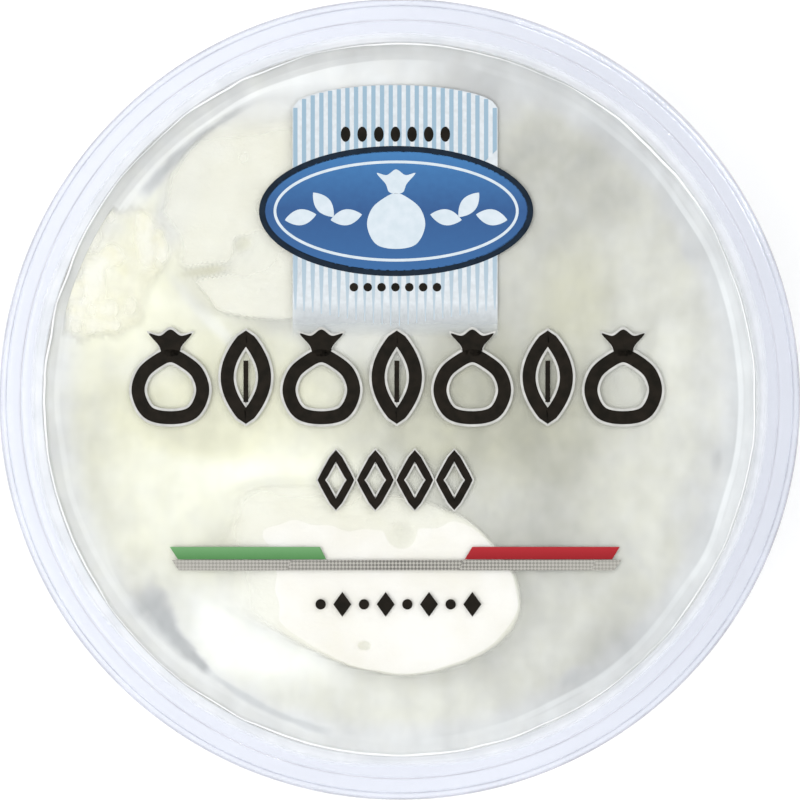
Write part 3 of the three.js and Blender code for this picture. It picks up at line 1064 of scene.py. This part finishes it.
SKINS = [("burrata_skin_dull", 0.96), ("burrata_skin_white", 0.965), ("burrata_skin_right", 0.95)]
cheese = []
for pouch, skin in zip(POUCHES, SKINS):
    grid, cream = burrata(**pouch)
    cheese.append(closed(grid))
    made = piece(pouch["name"] + "_skin", cheese[-1:], cheese_finish(*skin))
    mark(made, cream=cream)
    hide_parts(pouch["name"])
grid, cream = curd_mass()
cheese.append(closed(grid))
curds = piece("loose_curds", cheese[-1:], cheese_finish("loose_curd", 1.02))
mark(curds, cream=cream)

# The tub's rim colour, (0.42, 0.38, 0.40), is a painted shade for its outer edge seen edge-on.
tub_finish = clear_plastic("tub_plastic", (0.893, 0.906, 0.949), (0.76, 0.78, 0.86),
                           (0.42, 0.38, 0.40), (0.03, 0.85), 0.08, 1.42)
grid = turned(tub_section(), TUB_SIDES)
tub = piece("tub_shell", [closed(grid)], tub_finish)
radius = np.hypot(grid[..., 0], grid[..., 1])
# Where the painted edge shade goes: the flange's outer edge, darker towards the right.
outermost = smooth_step(radius, FLANGE_RADIUS - 0.65, FLANGE_RADIUS - 0.3)
mark(tub, outer=smooth_step(radius, FILM_RADIUS, FILM_RADIUS + 0.5),
     shaded=outermost * (0.6 + 0.4 * grid[..., 0] / radius))
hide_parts("tub")

film_finish = clear_plastic("lidding_film", (0.99, 0.992, 0.994), (0.85, 0.86, 0.88),
                            (0.85, 0.86, 0.88), (0.008, 0.08), 0.1, 1.25)
film = piece("lid_film_sheet", [closed(lid_film())], film_finish)
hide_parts("lid_film")

bead_finish = ink("seal_bead_white", (0.90, 0.905, 0.91), (0.95, 0.953, 0.955), 3)
piece("seal_bead", [closed(seal_bead(), joined=True)], bead_finish)

grid, milky = seal_band()
band = piece("heat_seal_band", [closed(grid, joined=True)], seal_band_finish())
mark(band, joined=True, seal=milky)

grid = whey()
veil, pale, yellow = milkiness(grid, averaged(depth_to_cheese(grid, cheese)))
liquid = piece("whey_liquid", [closed(grid)], whey_liquid())
mark(liquid, veil=veil, pale=pale, yellow=yellow)

plaque_body, plaque_rim, plaque_devices = print_plaque()
frieze, edging = print_frieze()
groove = ellipse((0, 0), (GROOVE_RADIUS, GROOVE_RADIUS), 360)
bars = {name: [field(straight_sided(corners), layer)] for name, (layer, corners) in BARS.items()}
INKS = {
    "print_panel": ([print_panel()], veil_ink("panel_white_ink", (0.63, 0.67, 0.70), 9, 14)),
    "print_stripes": (print_stripes(), shaded_ink(
        "pale_blue_ink", 10, 26, (0.42, 0.49, 0.54), (0.34, 0.43, 0.50), (0.26, 0.37, 0.46))),
    "print_edging": (edging, ink("grey_edging_ink", (0.42, 0.42, 0.40), (0.52, 0.52, 0.50))),
    "print_plaque": (plaque_body, shaded_ink(
        "blue_ink", 18.5, 36, (0.036, 0.115, 0.28), (0.030, 0.085, 0.22), (0.048, 0.165, 0.37))),
    "print_plaque_rim": (plaque_rim, ink("navy_ink", (0.004, 0.011, 0.022), (0.007, 0.016, 0.03))),
    "print_devices": (plaque_devices, ink("white_ink", (0.50, 0.57, 0.62), (0.55, 0.61, 0.66))),
    "print_frieze": (frieze, ink("dark_brown_ink", (0.004, 0.003, 0.001), (0.010, 0.007, 0.004))),
    # A thin grey line on the film over the groove: painted shade of the groove.
    "groove_shade_line": ([stroke(groove, 0.15, 0)], ink(
        "groove_shade_grey_ink", (0.42, 0.42, 0.48), (0.56, 0.56, 0.62), 9)),
    "print_green_bar": (bars["green"], shaded_ink(
        "green_ink", -23.1, -21.3, (0.066, 0.195, 0.063), (0.135, 0.30, 0.13))),
    "print_red_bar": (bars["red"], shaded_ink(
        "red_ink", -23.1, -21.3, (0.24, 0.010, 0.014), (0.35, 0.020, 0.027))),
    "print_grey_bar": (bars["grey"], dotted_ink(
        "grey_tint_ink", (0.06, 0.057, 0.05), (0.36, 0.35, 0.315), 0.36, GREY_REACH)),
}
for name, (parts, finish) in INKS.items():
    piece(name, parts, finish, smooth=False)


# ---- stage, light and camera


def floor():
    """A wide level floor under the tub."""
    f = Finish("pale_floor")
    shade = f.ramp(f.noise(40), (0.3, grey(0.93)), (0.7, grey(0.95)))
    mesh = bpy.data.meshes.new("floor")
    mesh.from_pydata([(-3, -3, 0), (3, -3, 0), (3, 3, 0), (-3, 3, 0)], [], [(0, 1, 2, 3)])
    mesh.materials.append(f.surface(f.shader("Diffuse", Color=shade)))
    made = in_scene("floor", mesh)


def soft_light(name, place, size, power, lights_matt=True):
    """A lamp of a width and height in metres that looks at the tub from a place. One that
    does not light matt surfaces shows only as a shine."""
    lamp = bpy.data.lights.new(name, "AREA")
    lamp.shape, lamp.energy = "RECTANGLE", power
    lamp.size, lamp.size_y = size
    made = in_scene(name, lamp)
    made.location = place
    made.rotation_euler = (-made.location).to_track_quat("-Z", "Y").to_euler()
    made.visible_diffuse = lights_matt


def sky(strength):
    """An even white surround."""
    world = bpy.data.worlds.new("surround")
    bpy.context.scene.world = world
    world.use_nodes = True
    colour, light = world.node_tree.nodes["Background"].inputs[:2]
    colour.default_value, light.default_value = (1, 1, 1, 1), strength


def camera_above():
    """A camera straight above the lid whose frame just cuts the flange's widest line."""
    lens, sensor, fills = 135.0, 36.0, 400.45 / 400
    widest = TUB_HEIGHT - ROLL_RADIUS
    distance = FLANGE_RADIUS / fills * 2 * lens / sensor
    camera = bpy.data.cameras.new("camera")
    camera.lens, camera.sensor_width = lens, sensor
    made = in_scene("camera", camera)
    made.location = (0.06 * MM, -0.09 * MM, (widest + distance) * MM)
    bpy.context.scene.camera = made


floor()
sky(1.03)
soft_light("key_left", (-0.7, -0.2, 1.05), (0.9, 0.9), 6.5)
soft_light("fill_right", (0.7, 0.5, 0.6), (0.3, 0.3), 1.7)
soft_light("rim_right", (0.62, 0.66, 0.6), (0.9, 0.12), 14, lights_matt=False)
camera_above()
scene = bpy.context.scene
scene.view_settings.view_transform = "Standard"
scene.cycles.transparent_max_bounces = 12
scene.cycles.max_bounces = 6
scene.cycles.diffuse_bounces = 3
